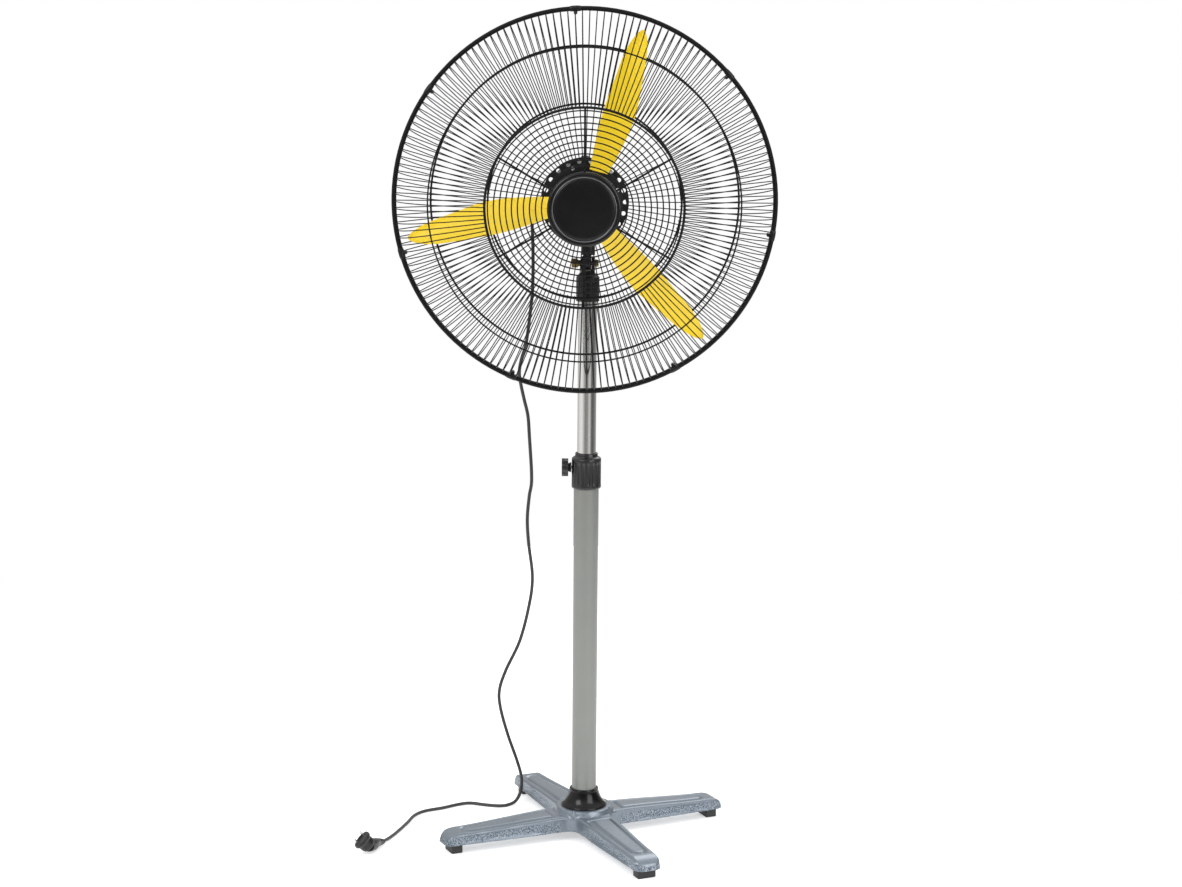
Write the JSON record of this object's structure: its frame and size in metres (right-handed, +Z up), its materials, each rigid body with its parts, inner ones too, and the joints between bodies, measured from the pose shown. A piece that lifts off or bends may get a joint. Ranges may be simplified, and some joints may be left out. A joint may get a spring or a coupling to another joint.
{
  "type": "pedestal fan",
  "caption": "Large wire-guarded pedestal fan with a tilting, swinging head on a telescopic pole and four-legged cast base.",
  "frame": {"origin": "on the floor at the axis of the pole", "axes": "+Z up along the pole, the fan blows toward -Y, +X to the right of a viewer facing the fan's front"},
  "size_m": [0.8404, 0.6305, 1.7036],
  "materials": {
    "hammered_paint": "hammertone enamel, dimpled, semi-gloss",
    "foot_rubber": "matt moulded rubber",
    "zinc_steel": "zinc-plated, satin",
    "gloss_black": "glossy",
    "satin_tube": "satin grey enamel",
    "black_plastic": "fine matt grain",
    "nylon": "plain nylon",
    "chrome_tube": "bright plated",
    "black_casting": "satin black powder coat over die-cast aluminium",
    "core_steel": "stacked laminations",
    "coil_copper": "varnished windings",
    "black_wire": "semi-gloss powder coat",
    "cap_plastic": "satin disc with a glossy rim",
    "cap_bright": "bright plated ring",
    "black_clip": "semi-gloss powder coat",
    "bright_steel": "ground",
    "gold_zinc": "yellow-passivated zinc plate, dull",
    "blade_yellow": "smooth semi-gloss enamel",
    "cord_rubber": "satin sheath",
    "plug_plastic": "moulded, satin",
    "pin_metal": "nickel plated"
  },
  "bodies": {
    "stand": {"base": "hammered_paint", "foot_pads": "foot_rubber", "base_nut": "zinc_steel", "cone_cover": "gloss_black", "outer_tube": "satin_tube", "collar": "black_plastic", "collar_bush": "nylon", "cord_fall": "cord_rubber", "plug_relief": "cord_rubber", "plug_body": "plug_plastic", "plug_pins": "pin_metal"},
    "height_grip": {"height_screw": "zinc_steel", "height_knob": "black_plastic"},
    "mast": {"inner_tube": "chrome_tube", "tube_socket": "black_casting", "socket_screws": "black_clip"},
    "neck": {"tilt_neck": "black_casting", "tilt_bolt": "gold_zinc", "tilt_nut": "gold_zinc", "cord_neck": "cord_rubber"},
    "tilt_grip": {"tilt_knob": "gold_zinc"},
    "head": {"saddle": "black_casting", "motor_front_bell": "black_casting", "motor_rear_bell": "black_casting", "stator_core": "core_steel", "stator_coils": "coil_copper", "front_bearing": "zinc_steel", "rear_bearing": "zinc_steel", "motor_screws": "zinc_steel", "guard_plate": "black_casting", "plate_screws": "zinc_steel", "rear_rim": "black_wire", "rear_rings": "black_wire", "rear_wires": "black_wire", "front_rim": "black_wire", "front_middle_ring": "black_wire", "front_panel_ring": "black_wire", "front_wires": "black_wire", "front_panel_rings": "black_wire", "front_ribs": "black_wire", "guard_cap": "cap_plastic", "cap_ring": "cap_bright", "guard_clips": "black_clip", "clip_screws": "black_clip", "gearbox": "black_casting", "gear_cover": "black_plastic", "cover_screws": "zinc_steel", "cord_gland": "cord_rubber", "cord_head": "cord_rubber"},
    "swing_grip": {"swing_knob": "black_plastic"},
    "speed_grip": {"speed_knob": "black_plastic"},
    "rotor": {"shaft": "bright_steel", "rotor_core": "core_steel", "blade_hub": "black_casting", "hub_nut": "zinc_steel", "blade_1": "blade_yellow", "blade_2": "blade_yellow", "blade_3": "blade_yellow", "blade_rivets": "blade_yellow"}
  },
  "joints": [
    {"name": "height_slide", "type": "slide", "parent": "stand", "child": "mast", "axis": [0, 0, 1], "range_m": [-0.28, 0.12], "deforming": ["cord_fall"]},
    {"name": "height_knob_turn", "type": "hinge", "parent": "stand", "child": "height_grip", "pos_m": [0, 0, 0.776], "axis": [1, 0, 0], "range_deg": [-180, 180]},
    {"name": "head_tilt", "type": "hinge", "parent": "mast", "child": "neck", "pos_m": [0, 0, 1.193], "axis": [1, 0, 0], "range_deg": [-20, 15], "deforming": ["cord_neck"]},
    {"name": "tilt_knob_turn", "type": "hinge", "parent": "neck", "child": "tilt_grip", "pos_m": [0, 0, 1.193], "axis": [1, 0, 0], "range_deg": [-180, 180]},
    {"name": "head_swing", "type": "hinge", "parent": "neck", "child": "head", "pos_m": [0, 0, 1.231], "axis": [0, 0, 1], "range_deg": [-45, 45], "deforming": ["cord_head"]},
    {"name": "swing_knob_pull", "type": "slide", "parent": "head", "child": "swing_grip", "axis": [0, 0, 1], "range_m": [-0.008, 0]},
    {"name": "speed_knob_turn", "type": "hinge", "parent": "head", "child": "speed_grip", "pos_m": [-0.007, 0.116, 1.326], "axis": [0, 1, 0], "range_deg": [0, 135]},
    {"name": "blade_spin", "type": "hinge", "parent": "head", "child": "rotor", "pos_m": [-0.007, -0.172, 1.326], "axis": [0, 1, 0], "continuous": true}
  ]
}
